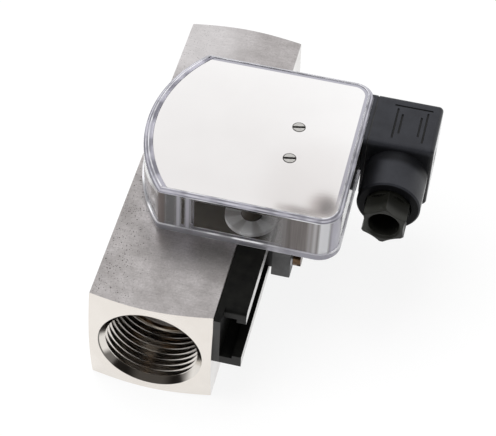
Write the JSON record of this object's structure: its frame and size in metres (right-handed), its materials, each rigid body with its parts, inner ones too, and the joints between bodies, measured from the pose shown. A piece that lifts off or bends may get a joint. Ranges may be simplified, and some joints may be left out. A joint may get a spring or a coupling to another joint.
{
  "type": "variable area flow meter",
  "caption": "Square-bar inline flow meter: sprung magnetic piston in the bore, side rail with follower, clear pointer housing, switch and angled plug with cable gland.",
  "frame": {"origin": "on the bore axis in the gauge plane of the inlet thread, 2.2 mm behind the inlet end face", "axes": "+Y along the bore with the flow, from inlet to outlet; +X to the plug side; +Z to the front plate"},
  "size_m": [0.0952, 0.1338, 0.0576],
  "materials": {
    "stainless_body": "satin, drawn sides with fine marks and bright turned ends",
    "stainless_rod": "ground",
    "spring_steel": "drawn wire and sprung strip",
    "brass_guides": "turned and milled, dulled by use",
    "brass_gears": "fine machined",
    "magnet_black": "sintered, matt",
    "rail_black": "black anodised, bare edges",
    "block_grey": "dark grey hard anodised",
    "zinc_screws": "zinc plated",
    "bronze_screws": "browned",
    "nickel_screws": "nickel plated",
    "tin_contacts": "tinned",
    "floor_olive": "dark olive moulded",
    "clear_plastic": "clear, polished",
    "silver_plate": "bright rolled sheet",
    "white_plastic": "moulded",
    "pointer_red": "painted",
    "switch_black": "moulded",
    "plug_black": "moulded, slightly grained",
    "nut_black": "moulded",
    "gasket_rubber": "soft moulded"
  },
  "bodies": {
    "meter_body": {"flow_body": "stainless_body", "front_guide_spider": "brass_guides", "rear_guide_spider": "brass_guides", "snap_rings": "spring_steel", "guide_rod": "stainless_rod", "rod_clips": "spring_steel", "orifice_ring": "brass_guides", "piston_spring": "spring_steel", "sensor_rail": "rail_black", "rail_screws": "zinc_screws", "mounting_block": "block_grey", "clamp_washers": "zinc_screws", "clamp_screws": "bronze_screws", "clamp_nuts": "zinc_screws", "housing_floor": "floor_olive", "floor_screws": "zinc_screws", "clear_cover": "clear_plastic", "front_plate": "silver_plate", "plate_screws": "nickel_screws", "bridge_pillars": "brass_gears", "bridge_plate": "brass_gears", "screw_posts": "brass_gears", "spindle_bushes": "brass_gears", "micro_switch": "switch_black", "switch_terminals": "tin_contacts", "socket_base": "plug_black", "contact_pins": "tin_contacts"},
    "piston": {"piston_cone": "brass_guides", "piston_magnet": "magnet_black", "piston_cap": "brass_guides"},
    "follower": {"follower_carriage": "white_plastic", "follower_magnet": "magnet_black", "follower_rack": "brass_gears"},
    "indicator": {"spindle": "stainless_rod", "spindle_gear": "brass_gears", "cam_disc": "white_plastic", "pointer": "pointer_red", "pointer_cap": "brass_gears"},
    "plunger": {"switch_plunger": "pointer_red"},
    "set_point": {"set_point_dial": "white_plastic"},
    "plug": {"plug_housing": "plug_black", "plug_insert": "switch_black", "plug_gasket": "gasket_rubber", "gland_seal": "gasket_rubber", "gland_washer": "zinc_screws"},
    "centre_screw": {"plug_screw": "zinc_screws"},
    "gland": {"gland_nut": "nut_black"}
  },
  "joints": [
    {"name": "piston_slide", "type": "slide", "parent": "meter_body", "child": "piston", "axis": [0, 1, 0], "range_m": [0, 0.01], "stiffness_N_per_m": 120, "springref_m": -0.008, "deforming": ["piston_spring"]},
    {"name": "follower_slide", "type": "slide", "parent": "meter_body", "child": "follower", "axis": [0, 1, 0], "range_m": [0, 0.01]},
    {"name": "pointer_turn", "type": "hinge", "parent": "meter_body", "child": "indicator", "pos_m": [0.033, 0.0647, 0.032], "axis": [0, 0, 1], "range_deg": [-71.7, 0]},
    {"name": "plunger_slide", "type": "slide", "parent": "meter_body", "child": "plunger", "axis": [0, 1, 0], "range_m": [0, 0.0015]},
    {"name": "set_point_turn", "type": "hinge", "parent": "meter_body", "child": "set_point", "pos_m": [0.0221, 0.0429, 0.024], "axis": [0, 0, 1], "range_deg": [-135, 135]},
    {"name": "plug_pull", "type": "slide", "parent": "meter_body", "child": "plug", "axis": [1, 0, 0], "range_m": [0, 0.012]},
    {"name": "centre_screw_turn", "type": "hinge", "parent": "plug", "child": "centre_screw", "pos_m": [0.074, 0.0829, 0.024], "axis": [1, 0, 0], "continuous": true},
    {"name": "gland_nut_turn", "type": "hinge", "parent": "plug", "child": "gland", "pos_m": [0.064, 0.0513, 0.024], "axis": [0, 1, 0], "continuous": true}
  ],
  "couplings": [
    {"joint": "follower_slide", "follows": "piston_slide", "ratio": 1},
    {"joint": "pointer_turn", "follows": "piston_slide", "rad_per_m": -125},
    {"joint": "plunger_slide", "follows": "piston_slide", "ratio": 0.15}
  ]
}
